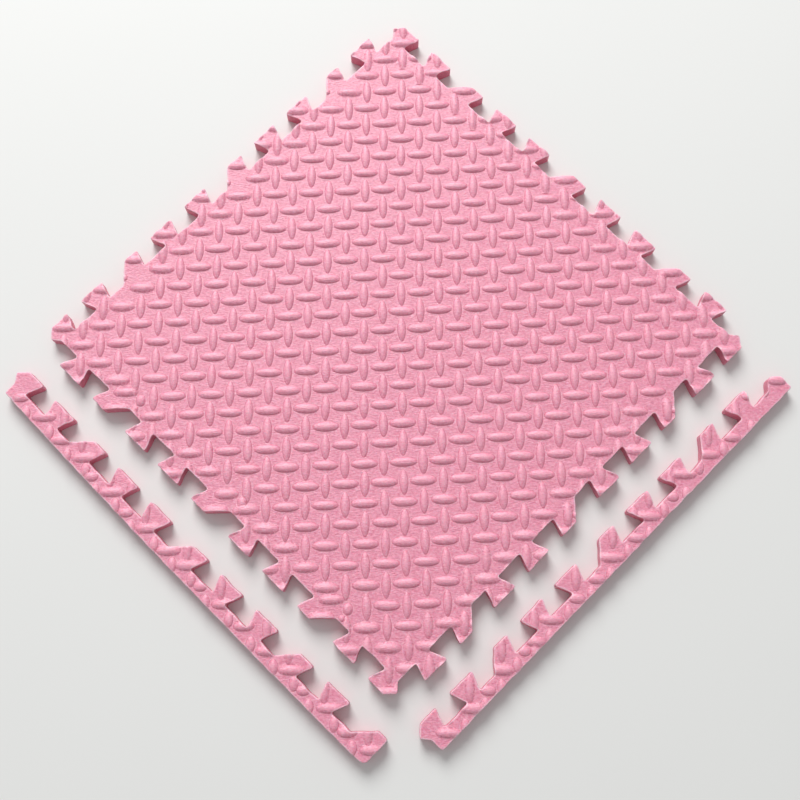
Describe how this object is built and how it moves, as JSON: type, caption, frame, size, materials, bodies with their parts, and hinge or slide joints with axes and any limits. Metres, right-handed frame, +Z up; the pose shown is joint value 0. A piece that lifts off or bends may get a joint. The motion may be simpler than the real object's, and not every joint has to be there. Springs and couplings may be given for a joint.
{
  "type": "interlocking foam floor tile with border strips",
  "caption": "Square foam floor tile with dovetail teeth on its sides and a raised rib tread, and loose border strips whose teeth plug into it to give a straight edge.",
  "frame": {"origin": "middle of the tile's underside, on the floor", "axes": "+Z up out of the tread face; the tile's sides run along X and Y; the left border strip lies on the -Y side and the right border strip on the +X side"},
  "size_m": [0.3487, 0.3477, 0.01],
  "materials": {
    "foam": "matte closed-cell foam, embossed"
  },
  "bodies": {
    "tile": {"floor_tile": "foam"},
    "left_strip": {"left_border_strip": "foam"},
    "right_strip": {"right_border_strip": "foam"}
  },
  "joints": [
    {"name": "left_strip_lift", "type": "slide", "parent": "tile", "child": "left_strip", "axis": [0, 0, 1], "range_m": [0, 0.04]},
    {"name": "right_strip_lift", "type": "slide", "parent": "tile", "child": "right_strip", "axis": [0, 0, 1], "range_m": [0, 0.04]}
  ]
}
